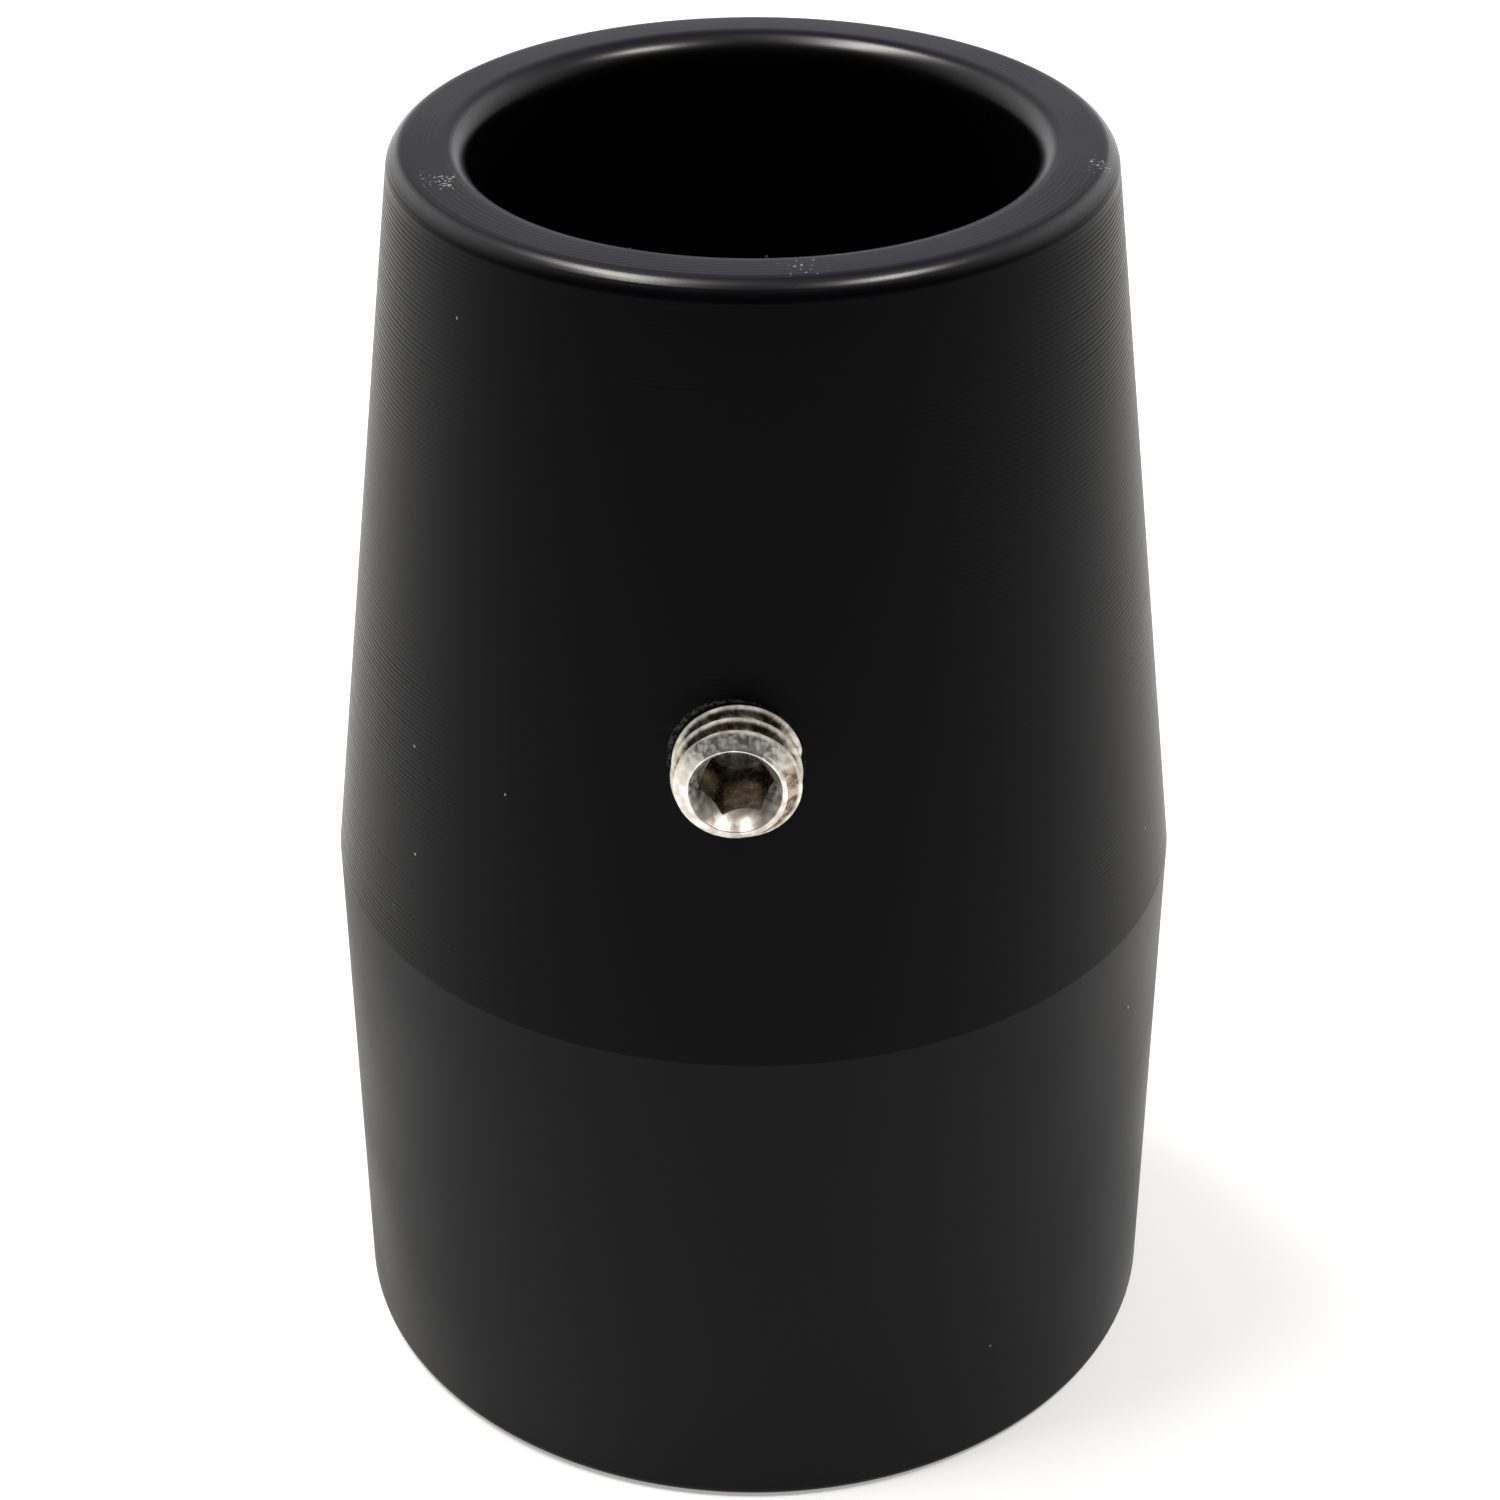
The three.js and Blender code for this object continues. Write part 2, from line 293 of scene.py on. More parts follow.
tree, given = new_tree(
    "sleeve",
    bar_radius=BAR_RADIUS,
    bore_radius=BORE_RADIUS,
    mouth_radius=MOUTH_RADIUS,
    sleeve_height=SLEEVE_HEIGHT,
    shoulder_height=SHOULDER_HEIGHT,
    zone_start=(SCREW_HEIGHT - HOLE_ZONE - SHOULDER_HEIGHT) / (SLEEVE_HEIGHT - SHOULDER_HEIGHT),
    zone_end=(SCREW_HEIGHT + HOLE_ZONE - SHOULDER_HEIGHT) / (SLEEVE_HEIGHT - SHOULDER_HEIGHT),
    base_outer_fillet=0.8 * MM,
    base_inner_fillet=0.5 * MM,
    mouth_outer_fillet=1.45 * MM,
    mouth_inner_fillet=1.8 * MM,
    fillet_steps=24,
    columns=288,
    fine_row=0.18 * MM,
    coarse_row=4 * MM,
    screw_height=SCREW_HEIGHT,
    screw_tip=SCREW_TIP,
    hole_gap=HOLE_GAP,
    lip_width=LIP_WIDTH,
    lip_height=LIP_HEIGHT,
)
zone_start_radius = add(
    tree,
    "ShaderNodeMix",
    {"Factor": given["Zone start"], "A": given["Bar radius"], "B": given["Mouth radius"]},
)
zone_start_height = add(
    tree,
    "ShaderNodeMix",
    {"Factor": given["Zone start"], "A": given["Shoulder height"], "B": given["Sleeve height"]},
)
zone_end_radius = add(
    tree, "ShaderNodeMix", {"Factor": given["Zone end"], "A": given["Bar radius"], "B": given["Mouth radius"]}
)
zone_end_height = add(
    tree,
    "ShaderNodeMix",
    {"Factor": given["Zone end"], "A": given["Shoulder height"], "B": given["Sleeve height"]},
)
outline = section(
    tree,
    [
        (given["Bore radius"], 0.0, given["Base inner fillet"]),
        (given["Bar radius"], 0.0, given["Base outer fillet"]),
        (given["Bar radius"], given["Shoulder height"], 0.0),
        (zone_start_radius, zone_start_height, 0.0),
        (zone_end_radius, zone_end_height, 0.0),
        (given["Mouth radius"], given["Sleeve height"], given["Mouth outer fillet"]),
        (given["Bore radius"], given["Sleeve height"], given["Mouth inner fillet"]),
    ],
    given["Fillet steps"],
)
position = add(tree, "GeometryNodeInputPosition")
index = add(tree, "GeometryNodeInputIndex")
next_point = add(tree, "GeometryNodeOffsetPointInCurve", {"Point Index": index, "Offset": 1})
next_place = add(
    tree,
    "GeometryNodeFieldAtIndex",
    {"Value": position, "Index": next_point.outputs["Point Index"]},
    data_type="FLOAT_VECTOR",
)
length = add(tree, "ShaderNodeVectorMath", {0: position, 1: next_place}, operation="DISTANCE")
here = add(tree, "ShaderNodeSeparateXYZ", {0: position})
past_start = add(
    tree,
    "ShaderNodeMath",
    {0: here.outputs["Z"], 1: zone_start_height, 2: WELD_DISTANCE},
    operation="COMPARE",
)
spacing = add(
    tree, "ShaderNodeMix", {"Factor": past_start, "A": given["Coarse row"], "B": given["Fine row"]}
)
cuts = add(tree, "ShaderNodeMath", {0: length.outputs["Value"], 1: spacing}, operation="DIVIDE")
rows = add(tree, "GeometryNodeSubdivideCurve", {"Curve": outline, "Cuts": cuts})
blank = add(
    tree,
    "GeometryNodeGroup",
    {"Section": rows, "Columns": given["Columns"], "Evenness": COLUMN_EVENNESS},
    node_tree=turned,
)
# Tapping the hole pushed up a low uneven lip round it, highest at the upper left.
position = add(tree, "GeometryNodeInputPosition")
screw_axis = add(tree, "ShaderNodeCombineXYZ", {"Z": given["Screw height"]})
from_axis = add(tree, "ShaderNodeVectorMath", {0: position, 1: screw_axis}, operation="SUBTRACT")
across = add(tree, "ShaderNodeVectorMath", {0: from_axis, 1: (1, 0, 1)}, operation="MULTIPLY")
distance = add(tree, "ShaderNodeVectorMath", {0: across}, operation="LENGTH").outputs["Value"]
lip_end = add(tree, "ShaderNodeMath", {0: HOLE_EDGE, 1: given["Lip width"]})
slope = add(
    tree,
    "ShaderNodeMapRange",
    {"Value": distance, "From Min": lip_end, "From Max": HOLE_EDGE},
    interpolation_type="SMOOTHSTEP",
)
direction = add(tree, "ShaderNodeVectorMath", {0: across}, operation="NORMALIZE")
upper_left = add(tree, "ShaderNodeVectorMath", {0: direction, 1: (-0.7, 0, 0.7)}, operation="DOT_PRODUCT")
lean = add(
    tree, "ShaderNodeMapRange", {"Value": upper_left.outputs["Value"], "From Min": -1.0, "To Min": 0.25}
)
uneven = add(tree, "ShaderNodeTexNoise", {"Scale": 700.0, "Detail": 2.0})  # dents 1.4 mm apart
unevenness = add(
    tree, "ShaderNodeMapRange", {"Value": uneven, "From Min": 0.3, "From Max": 0.7, "To Min": 0.4}
)
shaped = add(tree, "ShaderNodeMath", {0: slope, 1: lean}, operation="MULTIPLY")
rough = add(tree, "ShaderNodeMath", {0: shaped, 1: unevenness}, operation="MULTIPLY")
raised = add(tree, "ShaderNodeMath", {0: rough, 1: given["Lip height"]}, operation="MULTIPLY")
normal = add(tree, "GeometryNodeInputNormal")
push = add(tree, "ShaderNodeVectorMath", {0: normal, "Scale": raised}, operation="SCALE")
here = add(tree, "ShaderNodeSeparateXYZ", {0: position})
outer_front = add(
    tree, "FunctionNodeCompare", {"A": here.outputs["Y"], "B": -(BORE_RADIUS + MM)}, operation="LESS_THAN"
)
lipped = add(
    tree, "GeometryNodeSetPosition", {"Geometry": blank, "Selection": outer_front, "Offset": push}
)
tap_radius = add(tree, "ShaderNodeMath", {0: THREAD_RADIUS, 1: given["Hole gap"]})
tap = add(tree, "GeometryNodeGroup", {"Radius": tap_radius}, node_tree=threaded_rod)
tap_place = add(tree, "ShaderNodeCombineXYZ", {"Y": given["Screw tip"], "Z": given["Screw height"]})
tap_turned = add(
    tree,
    "GeometryNodeTransform",
    {"Geometry": tap, "Translation": tap_place, "Rotation": (QUARTER_TURN, 0, 0)},
)
drilled = add(
    tree,
    "GeometryNodeMeshBoolean",
    {"Mesh 1": lipped, "Mesh 2": tap_turned},
    operation="DIFFERENCE",
    solver="MANIFOLD",
)
finished(tree, drilled, acetal, SLEEVE_SHARP_ANGLE)
sleeve = made("sleeve", tree)

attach(sleeve, "sleeve")
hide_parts("snoot_body")


def linear(hex_colour):
    """An sRGB hex colour as the linear colour that sockets take."""
    channels = [int(hex_colour[i : i + 2], 16) / 255 for i in (1, 3, 5)]
    return (*(c / 12.92 if c <= 0.04045 else ((c + 0.055) / 1.055) ** 2.4 for c in channels), 1.0)


# Black acetal, dyed right through: it stays nearly black where it faces the eye, and only its outlines pick
# up a wide soft sheen. The drawn skin is satin, and the tool left fine rings on the taper and the rim. It
# burnished the roundings of the mouth, whose shine is drawn as a thin coat.
FEED = 0.24 * MM  # how far the turning tool moved at each turn
RING_SPACING = 1.5 * FEED  # drawn coarser, because the real feed is too fine to show
RING_DEPTH = 0.006 * MM
RING_PATCH = 14 * MM  # across a stretch where the tool chattered and cut deeper
GRAIN_SIZE = 0.12 * MM
GRAIN_DEPTH = 0.0015 * MM
MOUTH_START = SLEEVE_HEIGHT - 1.4 * MM  # just below the outer rounding
SOFT_BAND = 0.4 * MM  # how far the looks take to change from the taper to the mouth
SPECK_SPACING = 5 * MM
TORN_SIZE = 0.22 * MM
tree = acetal.node_tree
shader = tree.nodes["Principled BSDF"]
shader.inputs["Specular IOR Level"].default_value = 0.058
shader.inputs["Coat Roughness"].default_value = 0.29
texture_coords = add(tree, "ShaderNodeTexCoord")
coords = texture_coords.outputs["Object"]
here = add(tree, "ShaderNodeSeparateXYZ", {0: coords})
facing = add(tree, "ShaderNodeSeparateXYZ", {0: texture_coords.outputs["Normal"]})
flat = add(tree, "ShaderNodeVectorMath", {0: coords, 1: (1, 1, 0)}, operation="MULTIPLY")
radial = add(tree, "ShaderNodeVectorMath", {0: flat}, operation="LENGTH").outputs["Value"]
turned_part = add(
    tree, "ShaderNodeMath", {0: here.outputs["Z"], 1: SHOULDER_HEIGHT}, operation="GREATER_THAN"
)
mouth = add(
    tree,
    "ShaderNodeMapRange",
    {"Value": here.outputs["Z"], "From Min": MOUTH_START - SOFT_BAND, "From Max": MOUTH_START},
)
level = add(tree, "ShaderNodeMapRange", {"Value": facing.outputs["Z"], "From Min": 0.85, "From Max": 0.97})
upward = add(
    tree,
    "ShaderNodeMapRange",
    {"Value": facing.outputs["Z"], "From Min": 0.35, "From Max": 0.75, "To Max": 0.8},
)
rounded = add(tree, "ShaderNodeMath", {0: upward, 1: level}, operation="SUBTRACT")
burnished = add(tree, "ShaderNodeMath", {0: rounded, 1: mouth}, operation="MULTIPLY", use_clamp=True)

# Height less radius grows along the taper, the rounded edge and the rim alike, so it places the rings.
# Handling has worn them nearly smooth at the front, round the screw.
travel = add(tree, "ShaderNodeMath", {0: here.outputs["Z"], 1: radial}, operation="SUBTRACT")
ring_phase = add(tree, "ShaderNodeMath", {0: travel, 1: FULL_TURN / RING_SPACING}, operation="MULTIPLY")
ring = add(tree, "ShaderNodeMath", {0: ring_phase}, operation="SINE")
ring_number = add(tree, "ShaderNodeMath", {0: travel, 1: 1 / (2.2 * RING_SPACING)}, operation="MULTIPLY")
chatter = add(
    tree, "ShaderNodeTexNoise", {"W": ring_number, "Scale": 1.0, "Detail": 1.0}, noise_dimensions="1D"
)
depth = add(tree, "ShaderNodeMapRange", {"Value": chatter, "From Min": 0.3, "From Max": 0.7, "To Min": 0.3})
patches = add(tree, "ShaderNodeTexNoise", {"Vector": coords, "Scale": 1 / RING_PATCH, "Detail": 1.0})
patchy = add(tree, "ShaderNodeMapRange", {"Value": patches, "From Min": 0.4, "From Max": 0.65, "To Min": 0.1})
deep = add(tree, "ShaderNodeMath", {0: depth, 1: patchy}, operation="MULTIPLY")
handled = add(
    tree,
    "ShaderNodeMapRange",
    {"Value": facing.outputs["Y"], "From Min": -0.9, "From Max": -0.5, "To Min": 0.2},
)
worn = add(tree, "ShaderNodeMath", {0: deep, 1: handled}, operation="MULTIPLY")
cut = add(tree, "ShaderNodeMath", {0: worn, 1: turned_part}, operation="MULTIPLY")
ring_height = add(tree, "ShaderNodeMath", {0: ring, 1: cut}, operation="MULTIPLY")
rings = add(tree, "ShaderNodeBump", {"Height": ring_height, "Strength": 1.0, "Distance": RING_DEPTH})
grain = add(tree, "ShaderNodeTexNoise", {"Vector": coords, "Scale": 1 / GRAIN_SIZE, "Detail": 2.0})
surface = add(
    tree,
    "ShaderNodeBump",
    {"Height": grain, "Strength": 1.0, "Distance": GRAIN_DEPTH, "Normal": rings},
)

# The drawn skin is a little duller in some stretches than in others.
drawn_gloss = add(
    tree,
    "ShaderNodeMapRange",
    {"Value": patches, "From Min": 0.3, "From Max": 0.7, "To Min": 0.32, "To Max": 0.42},
)
skin_gloss = add(tree, "ShaderNodeMix", {"Factor": turned_part, "A": drawn_gloss, "B": 0.36})
ridged_gloss = add(
    tree, "ShaderNodeMath", {0: ring_height, 1: 0.25, 2: skin_gloss}, operation="MULTIPLY_ADD"
)
rim_gloss = add(
    tree,
    "ShaderNodeMapRange",
    {"Value": patches, "From Min": 0.3, "From Max": 0.7, "To Min": 0.22, "To Max": 0.4},
)
mouth_gloss = add(tree, "ShaderNodeMix", {"Factor": level, "A": 0.27, "B": rim_gloss})
gloss = add(tree, "ShaderNodeMix", {"Factor": mouth, "A": ridged_gloss, "B": mouth_gloss})
turned_colour = add(
    tree,
    "ShaderNodeMix",
    {"Factor": turned_part, "A": linear("#111113"), "B": linear("#030305")},
    data_type="RGBA",
)
# The flat rim is painted a paler, bluer grey: partly scuffing, and partly a painted sheen of the bright wall
# behind, which the rim reflects.
on_rim = add(tree, "ShaderNodeMath", {0: mouth, 1: level}, operation="MULTIPLY")
rim_scuff_and_sheen_colour = add(
    tree, "ShaderNodeMix", {"Factor": on_rim, "A": turned_colour, "B": linear("#1b1b22")}, data_type="RGBA"
)

# Paler, torn grey marks: specks of swarf and chips that knocks left on three stretches of the rim, which are
# marks of use, and a pale torn band on the lip at the upper left of the screw hole.
speck_cells = add(tree, "ShaderNodeTexVoronoi", {"Vector": coords, "Scale": 1 / SPECK_SPACING})
torn = add(tree, "ShaderNodeTexNoise", {"Vector": coords, "Scale": 1 / TORN_SIZE, "Detail": 3.0})
torn_edge = add(tree, "ShaderNodeMath", {0: torn, 1: 0.05, 2: -0.007}, operation="MULTIPLY_ADD")
speck = add(
    tree, "ShaderNodeMath", {0: speck_cells.outputs["Distance"], 1: torn_edge}, operation="LESS_THAN"
)
marks = [speck]
# Each stretch: its angle from the front, its distance from the bore's axis, how far it spreads, and how much
# the torn pattern has to rise at its middle to leave a chip.
for angle, radius, spread, amount in (
    (-66, 20 * MM, 4.5 * MM, 0.54),
    (79, 21.5 * MM, 4 * MM, 0.56),
    (10, 20.5 * MM, 6 * MM, 0.62),
):
    turn = math.radians(angle)
    middle = (radius * math.sin(turn), -radius * math.cos(turn), SLEEVE_HEIGHT)
    away = add(tree, "ShaderNodeVectorMath", {0: coords, 1: middle}, operation="DISTANCE").outputs["Value"]
    limit = add(tree, "ShaderNodeMapRange", {"Value": away, "From Max": spread, "To Min": amount})
    marks.append(add(tree, "ShaderNodeMath", {0: torn, 1: limit}, operation="GREATER_THAN"))
from_screw = add(tree, "ShaderNodeVectorMath", {0: coords, 1: (0, 0, SCREW_HEIGHT)}, operation="SUBTRACT")
across = add(tree, "ShaderNodeVectorMath", {0: from_screw, 1: (1, 0, 1)}, operation="MULTIPLY")
screw_distance = add(tree, "ShaderNodeVectorMath", {0: across}, operation="LENGTH").outputs["Value"]
direction = add(tree, "ShaderNodeVectorMath", {0: across}, operation="NORMALIZE")
upper_left = add(tree, "ShaderNodeVectorMath", {0: direction, 1: (-0.8, 0, 0.6)}, operation="DOT_PRODUCT")
lip_end = add(
    tree,
    "ShaderNodeMapRange",
    {
        "Value": upper_left.outputs["Value"],
        "From Min": 0.2,
        "From Max": 0.9,
        "To Min": HOLE_EDGE,
        "To Max": HOLE_EDGE + 0.25 * MM,
    },
)
short_of_end = add(tree, "ShaderNodeMath", {0: screw_distance, 1: lip_end}, operation="LESS_THAN")
past_edge = add(
    tree, "ShaderNodeMath", {0: screw_distance, 1: HOLE_EDGE - 0.03 * MM}, operation="GREATER_THAN"
)
on_lip = add(tree, "ShaderNodeMath", {0: short_of_end, 1: past_edge}, operation="MULTIPLY")
in_front = add(
    tree, "ShaderNodeMath", {0: here.outputs["Y"], 1: -BORE_RADIUS - 5 * MM}, operation="LESS_THAN"
)
lip_pale = add(
    tree, "ShaderNodeMapRange", {"Value": torn, "From Min": 0.45, "From Max": 0.65, "To Max": 0.25}
)
lip_front = add(tree, "ShaderNodeMath", {0: on_lip, 1: in_front}, operation="MULTIPLY")
marks.append(add(tree, "ShaderNodeMath", {0: lip_front, 1: lip_pale}, operation="MULTIPLY"))
marked = marks[0]
for mark in marks[1:]:
    marked = add(tree, "ShaderNodeMath", {0: marked, 1: mark}, operation="MAXIMUM")
colour = add(
    tree, "ShaderNodeMix", {"Factor": marked, "A": rim_scuff_and_sheen_colour, "B": linear("#8f8d89")}, data_type="RGBA"
)
fill(
    tree,
    shader,
    {
        "Base Color": colour,
        "Roughness": gloss,
        "Normal": surface,
        "Coat Weight": burnished,
        "Coat Normal": surface,
    },
)


# ---- Set screw ----
# A 5/16-18 by 3/8 in set screw of bright stainless steel: rolled thread, bevelled ends, and a 5/32 in hexagon
# socket broached into a drilled hole. It screws into the sleeve's wall and grips the lamp's barrel.

SCREW_LENGTH = screw_high.y - screw_low.y
WIDE_RADIUS = THREAD_RADIUS + 0.3 * MM  # the blank reaches past the crests, so only its bevels cut them
RIDGE_RADIUS = 0.72 * THREAD_RADIUS
TIP_RADIUS = 0.6 * THREAD_RADIUS
END_BEVEL_ANGLE = math.radians(30)
TIP_BEVEL_ANGLE = math.radians(45)
COUNTERSINK_ANGLE = math.radians(31)
DRILL_POINT_ANGLE = math.radians(59)
SOCKET_ACROSS_FLATS = INCH * 5 / 32
SOCKET_CORNER = SOCKET_ACROSS_FLATS / math.sqrt(3)  # from the axis to a corner of the hexagon
SOCKET_DEPTH = 5.7 * MM
SOCKET_TURN = math.radians(9)  # of a corner from +X, anticlockwise seen from outside
RIDGE_ROUNDING = 0.1 * MM
SCREW_SHARP_ANGLE = math.radians(28)

steel = bpy.data.materials.new("stainless_steel_rolled")
steel.use_nodes = True

tree, given = new_tree(
    "set_screw",
    wide_radius=WIDE_RADIUS,
    ridge_radius=RIDGE_RADIUS,
    tip_radius=TIP_RADIUS,
    length=SCREW_LENGTH,
    tip_bevel=(WIDE_RADIUS - TIP_RADIUS) * math.tan(TIP_BEVEL_ANGLE),
    end_bevel=(WIDE_RADIUS - RIDGE_RADIUS) * math.tan(END_BEVEL_ANGLE),
    countersink=RIDGE_RADIUS / math.tan(COUNTERSINK_ANGLE),
    drill_radius=SOCKET_ACROSS_FLATS / 2,
    drill_point=SOCKET_ACROSS_FLATS / 2 / math.tan(DRILL_POINT_ANGLE),
    corner_radius=SOCKET_CORNER,
    socket_depth=SOCKET_DEPTH,
    socket_turn=SOCKET_TURN,
    screw_height=SCREW_HEIGHT,
    screw_tip=SCREW_TIP,
)
bevel_foot = add(tree, "ShaderNodeMath", {0: given["Length"], 1: given["End bevel"]}, operation="SUBTRACT")
sink_foot = add(
    tree, "ShaderNodeMath", {0: given["Length"], 1: given["Countersink"]}, operation="SUBTRACT"
)
blank_section = section(
    tree,
    [
        (0.0, 0.0, 0.0),
        (given["Tip radius"], 0.0, RIDGE_ROUNDING),
        (given["Wide radius"], given["Tip bevel"], 0.0),
        (given["Wide radius"], bevel_foot, 0.0),
        (given["Ridge radius"], given["Length"], RIDGE_ROUNDING),
        (0.0, sink_foot, 0.0),
    ],
    6,
)
blank = add(tree, "GeometryNodeGroup", {"Section": blank_section, "Columns": 96}, node_tree=turned)
rod = add(tree, "GeometryNodeGroup", node_tree=threaded_rod)
bevelled = add(
    tree, "GeometryNodeMeshBoolean", {0: [rod, blank]}, operation="INTERSECT", solver="MANIFOLD"
)
bottom = add(tree, "ShaderNodeMath", {0: given["Length"], 1: given["Socket depth"]}, operation="SUBTRACT")
drill_tip = add(tree, "ShaderNodeMath", {0: bottom, 1: given["Drill point"]}, operation="SUBTRACT")
drill_section = section(
    tree,
    [(0.0, drill_tip, 0.0), (given["Drill radius"], bottom, 0.0), (0.0, given["Length"], 0.0)],
    1,
)
drill = add(tree, "GeometryNodeGroup", {"Section": drill_section, "Columns": 48}, node_tree=turned)
broach = add(
    tree,
    "GeometryNodeMeshCylinder",
    {"Vertices": 6, "Radius": given["Corner radius"], "Depth": given["Length"]},
)
half_length = add(tree, "ShaderNodeMath", {0: given["Length"], 1: 2.0}, operation="DIVIDE")
broach_middle = add(tree, "ShaderNodeMath", {0: half_length, 1: bottom})
broach_place = add(tree, "ShaderNodeCombineXYZ", {"Z": broach_middle})
broach_turn = add(tree, "ShaderNodeCombineXYZ", {"Z": given["Socket turn"]})
broached = add(
    tree, "GeometryNodeTransform", {"Geometry": broach, "Translation": broach_place, "Rotation": broach_turn}
)
socketed = add(
    tree,
    "GeometryNodeMeshBoolean",
    {"Mesh 1": bevelled, "Mesh 2": [drill, broached]},
    operation="DIFFERENCE",
    solver="MANIFOLD",
)
screw_place = add(tree, "ShaderNodeCombineXYZ", {"Y": given["Screw tip"], "Z": given["Screw height"]})
screwed_in = add(
    tree,
    "GeometryNodeTransform",
    {"Geometry": socketed, "Translation": screw_place, "Rotation": (QUARTER_TURN, 0, 0)},
)
# The cuts leave some points almost on each other. They become one, so that the mesh has no slivers.
welded = add(tree, "GeometryNodeMergeByDistance", {"Geometry": screwed_in, "Distance": SLIVER})
finished(tree, welded, steel, SCREW_SHARP_ANGLE)
screw = made("hex_socket_set_screw", tree)

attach(screw, "screw")
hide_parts("set_screw")

# Stainless steel, thread-rolled and handled: crests, bevel and countersink are rubbed bright and scuffed. The
# thread's flanks are painted a darker brown, a painted reflection of the dark sleeve round them, and the
# socket gets painted shade, so the crests stand out as bright lines.
SCUFF_SIZE = 0.3 * MM
SMEAR_SIZE = 0.6 * MM
DENT_DEPTH = 0.008 * MM
SINK_DEPTH = 1.5 * MM  # past this the countersink has ended, and everything in the socket has painted shade
tree = steel.node_tree
shader = tree.nodes["Principled BSDF"]
shader.inputs["Metallic"].default_value = 1.0
texture_coords = add(tree, "ShaderNodeTexCoord")
coords = texture_coords.outputs["Object"]
outward = add(tree, "ShaderNodeSeparateXYZ", {0: texture_coords.outputs["Normal"]}).outputs["Y"]
from_end_centre = add(
    tree, "ShaderNodeVectorMath", {0: coords, 1: (0, screw_low.y, SCREW_HEIGHT)}, operation="SUBTRACT"
)
from_end = add(tree, "ShaderNodeSeparateXYZ", {0: from_end_centre}).outputs["Y"]
across = add(tree, "ShaderNodeVectorMath", {0: from_end_centre, 1: (1, 0, 1)}, operation="MULTIPLY")
radial = add(tree, "ShaderNodeVectorMath", {0: across}, operation="LENGTH").outputs["Value"]
bevel_radius = add(
    tree,
    "ShaderNodeMath",
    {0: from_end, 1: 1 / math.tan(END_BEVEL_ANGLE), 2: RIDGE_RADIUS},
    operation="MULTIPLY_ADD",
)
crest_radius = add(tree, "ShaderNodeMath", {0: bevel_radius, 1: THREAD_RADIUS}, operation="MINIMUM")
sunk = add(tree, "ShaderNodeMath", {0: crest_radius, 1: radial}, operation="SUBTRACT")
in_thread = add(tree, "ShaderNodeMapRange", {"Value": sunk, "From Min": 0.1 * MM, "From Max": 0.28 * MM})
outside = add(tree, "ShaderNodeMath", {0: radial, 1: RIDGE_RADIUS}, operation="GREATER_THAN")
# Painted reflection: the flanks are coloured a darker brown that stands in for the dark sleeve they face.
flank_shade = add(tree, "ShaderNodeMath", {0: in_thread, 1: outside}, operation="MULTIPLY")
past_sink = add(tree, "ShaderNodeMath", {0: from_end, 1: SINK_DEPTH}, operation="GREATER_THAN")
is_wall = add(tree, "ShaderNodeMath", {0: outward, 1: -0.25}, operation="GREATER_THAN")
deep = add(tree, "ShaderNodeMath", {0: past_sink, 1: is_wall}, operation="MAXIMUM")
inside = add(tree, "ShaderNodeMath", {0: radial, 1: SOCKET_CORNER + 0.05 * MM}, operation="LESS_THAN")
whole_socket_shade = add(tree, "ShaderNodeMath", {0: deep, 1: inside}, operation="MULTIPLY")
# Painted shade: the socket's walls and end are darkened, 0.7 of the way to the flanks' colour.
socket_shade = add(tree, "ShaderNodeMath", {0: whole_socket_shade, 1: 0.7}, operation="MULTIPLY")
painted_shade = add(tree, "ShaderNodeMath", {0: flank_shade, 1: socket_shade}, operation="MAXIMUM")
scuffs = add(tree, "ShaderNodeTexNoise", {"Vector": coords, "Scale": 1 / SCUFF_SIZE, "Detail": 5.0})
smears = add(tree, "ShaderNodeTexNoise", {"Vector": coords, "Scale": 1 / SMEAR_SIZE, "Detail": 5.0})
tone = add(tree, "ShaderNodeMapRange", {"Value": smears, "From Min": 0.4, "From Max": 0.6})
rubbed = add(
    tree, "ShaderNodeMix", {"Factor": tone, "A": linear("#c4bdb3"), "B": linear("#eeeae4")}, data_type="RGBA"
)
# The darker brown of the painted shade and painted reflection on the flanks and in the socket.
shaded_colour = add(
    tree, "ShaderNodeMix", {"Factor": tone, "A": linear("#54483c"), "B": linear("#a79a88")}, data_type="RGBA"
)
colour = add(tree, "ShaderNodeMix", {"Factor": painted_shade, "A": rubbed, "B": shaded_colour}, data_type="RGBA")
rubbed_gloss = add(
    tree,
    "ShaderNodeMapRange",
    {"Value": scuffs, "From Min": 0.35, "From Max": 0.65, "To Min": 0.28, "To Max": 0.48},
)
flank_and_socket_gloss = add(
    tree,
    "ShaderNodeMapRange",
    {"Value": scuffs, "From Min": 0.35, "From Max": 0.65, "To Min": 0.1, "To Max": 0.26},
)
mixed_gloss = add(tree, "ShaderNodeMix", {"Factor": painted_shade, "A": rubbed_gloss, "B": flank_and_socket_gloss})
on_crest = add(
    tree,
    "ShaderNodeMapRange",
    {"Value": radial, "From Min": THREAD_RADIUS - 0.2 * MM, "From Max": THREAD_RADIUS - 0.06 * MM},
)
gloss = add(tree, "ShaderNodeMix", {"Factor": on_crest, "A": mixed_gloss, "B": 0.62})
dents = add(tree, "ShaderNodeBump", {"Height": scuffs, "Strength": 1.0, "Distance": DENT_DEPTH})
fill(tree, shader, {"Base Color": colour, "Roughness": gloss, "Normal": dents})


# ---- Studio ----
# A plain white floor that glows a little, as a light table does, under pale walls that are brightest behind.
# A long softbox stands over the snoot at the left, and a short one at the right.

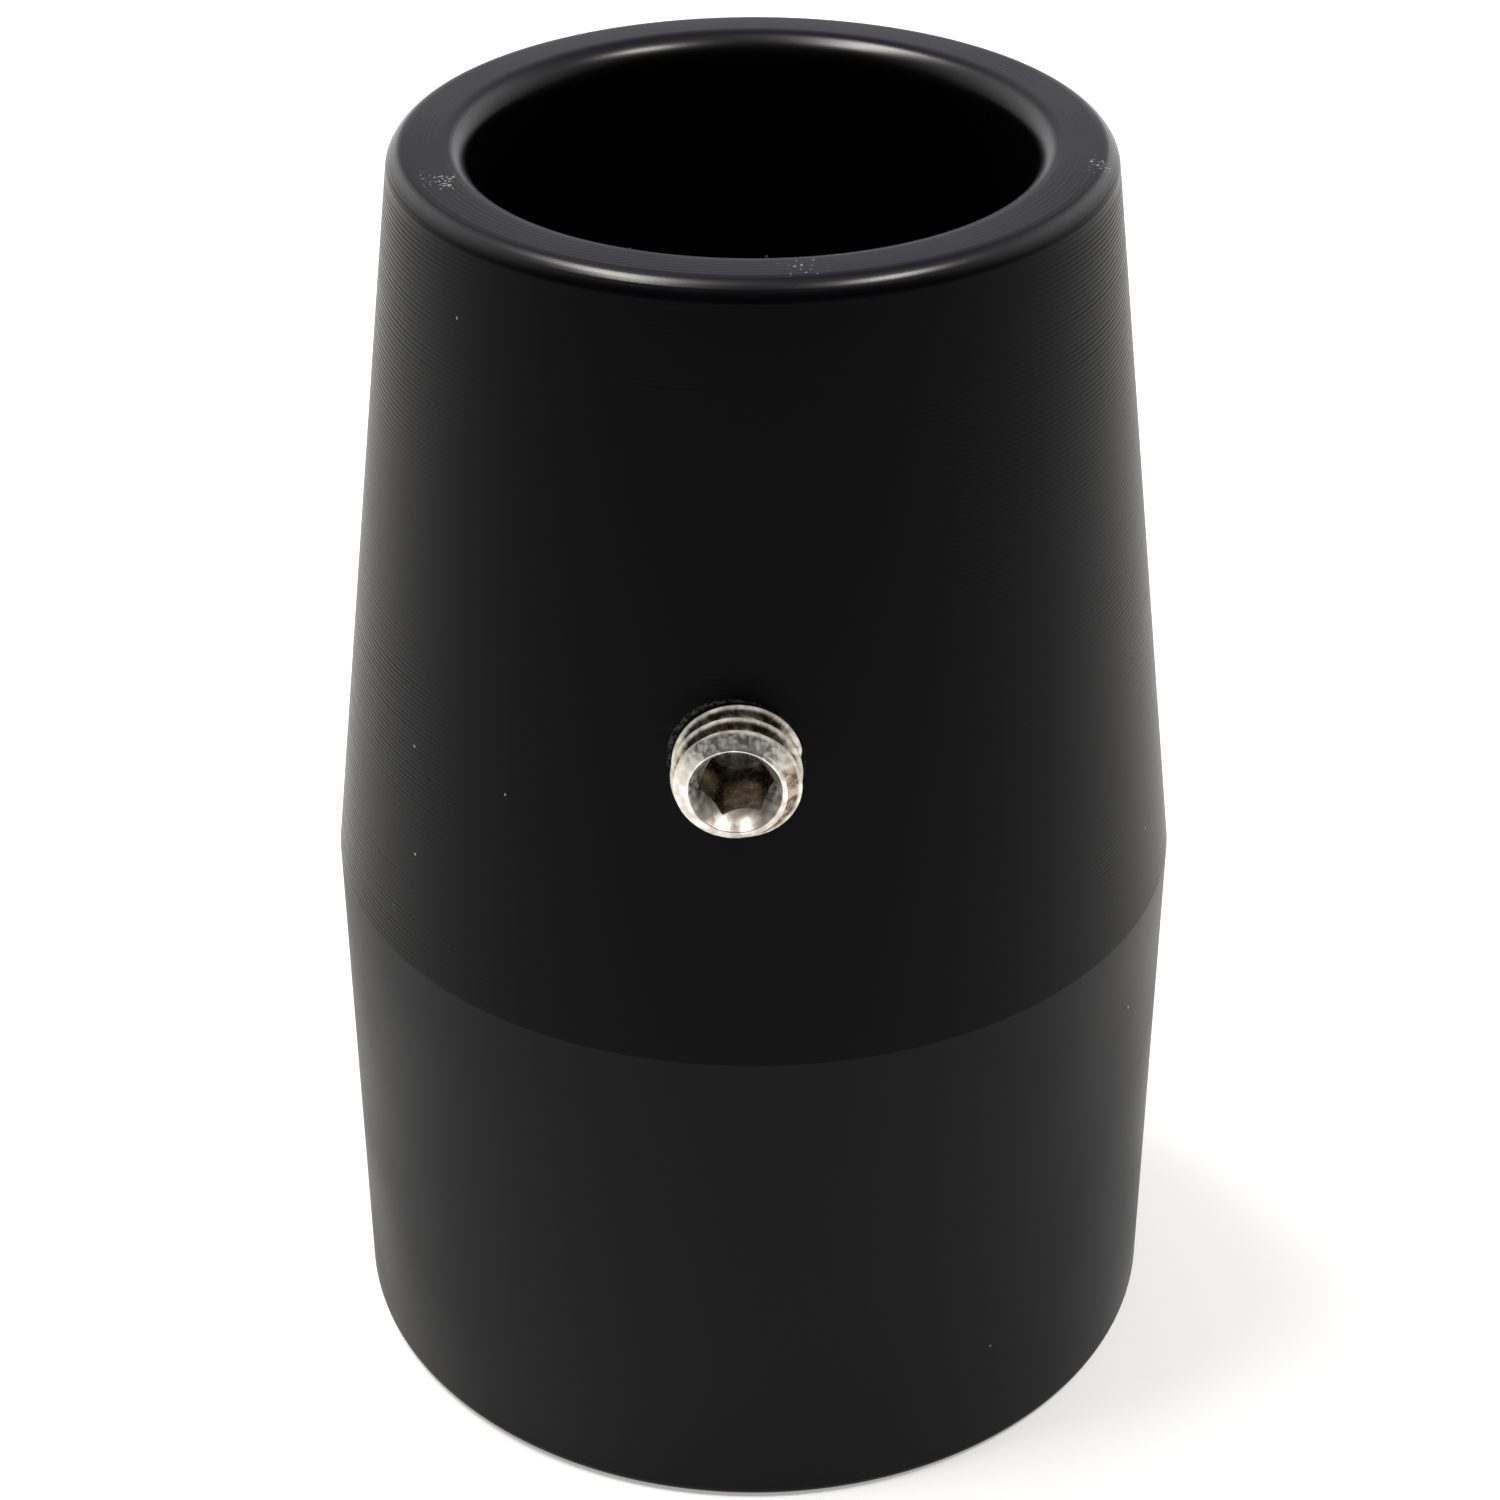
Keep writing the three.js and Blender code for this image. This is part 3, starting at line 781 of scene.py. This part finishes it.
FLOOR_SIZE = 3.0
floor_mesh = bpy.data.meshes.new("floor")
half = FLOOR_SIZE / 2
floor_mesh.from_pydata(
    [(-half, -half, 0), (half, -half, 0), (half, half, 0), (-half, half, 0)], [], [(0, 1, 2, 3)]
)
floor = bpy.data.objects.new("floor", floor_mesh)
bpy.context.scene.collection.objects.link(floor)
paper = bpy.data.materials.new("white_paper_matt")
paper.use_nodes = True
shader = paper.node_tree.nodes["Principled BSDF"]
shader.inputs["Base Color"].default_value = linear("#f2f2f2")
shader.inputs["Roughness"].default_value = 0.9
shader.inputs["Specular IOR Level"].default_value = 0.1
shader.inputs["Emission Color"].default_value = linear("#ffffff")
shader.inputs["Emission Strength"].default_value = 0.35
floor_mesh.materials.append(paper)

world = bpy.data.worlds.new("studio")
bpy.context.scene.world = world
world.use_nodes = True
tree = world.node_tree
direction = add(tree, "ShaderNodeTexCoord").outputs["Generated"]
parts = add(tree, "ShaderNodeSeparateXYZ", {0: direction})
behind = add(
    tree,
    "ShaderNodeMapRange",
    {"Value": parts.outputs["Y"], "From Min": -0.6, "From Max": 0.4, "To Min": 0.06},
    interpolation_type="SMOOTHSTEP",
)
overhead = add(
    tree,
    "ShaderNodeMapRange",
    {"Value": parts.outputs["Z"], "From Min": 0.55, "From Max": 0.8, "To Min": 1.1, "To Max": 0.3},
    interpolation_type="SMOOTHSTEP",
)
strength = add(tree, "ShaderNodeMath", {0: behind, 1: overhead}, operation="MULTIPLY")
seen = add(tree, "ShaderNodeLightPath").outputs["Is Camera Ray"]
shown = add(tree, "ShaderNodeMix", {"Factor": seen, "A": strength, "B": 1.0})
fill(tree, tree.nodes["Background"], {"Color": linear("#fbfbfd"), "Strength": shown})

# Each softbox: the direction it stands in from the snoot, its distance, its width, height and power.
for name, direction, distance, width, height, power in (
    ("softbox_left", (-0.36, 0.06, 0.93), 0.9, 0.6, 0.16, 8.0),
    ("softbox_right", (0.45, -0.15, 0.88), 0.9, 0.22, 0.12, 3.6),
):
    light = bpy.data.lights.new(name, "AREA")
    light.shape = "RECTANGLE"
    light.size = width
    light.size_y = height
    light.energy = power
    light.color = linear("#fffaf4")[:3]
    lamp = bpy.data.objects.new(name, light)
    bpy.context.scene.collection.objects.link(lamp)
    aim = Vector((0, 0, SLEEVE_HEIGHT))
    toward = Vector(direction).normalized()
    lamp.location = aim + toward * distance
    lamp.rotation_euler = toward.to_track_quat("Z", "Y").to_euler()

CAMERA_AZIMUTH = math.radians(2.1)
CAMERA_AIM = math.radians(0.075)  # it looks this far left of the bore's axis
CAMERA_PITCH = math.radians(32.098)
CAMERA_ROLL = math.radians(-0.12)
CAMERA_DISTANCE = 187.21 * MM  # level, from the bore's axis
CAMERA_HEIGHT = 159.66 * MM
camera_data = bpy.data.cameras.new("camera")
camera_data.sensor_width = 36
camera_data.lens = 77.19
camera_data.clip_start = 0.01
camera = bpy.data.objects.new("camera", camera_data)
bpy.context.scene.collection.objects.link(camera)
camera.matrix_world = (
    Matrix.Translation(
        (
            CAMERA_DISTANCE * math.sin(CAMERA_AZIMUTH),
            -CAMERA_DISTANCE * math.cos(CAMERA_AZIMUTH),
            CAMERA_HEIGHT,
        )
    )
    @ Matrix.Rotation(CAMERA_AZIMUTH + CAMERA_AIM, 4, "Z")
    @ Matrix.Rotation(QUARTER_TURN - CAMERA_PITCH, 4, "X")
    @ Matrix.Rotation(CAMERA_ROLL, 4, "Z")
)
bpy.context.scene.camera = camera
bpy.context.scene.view_settings.view_transform = "Standard"
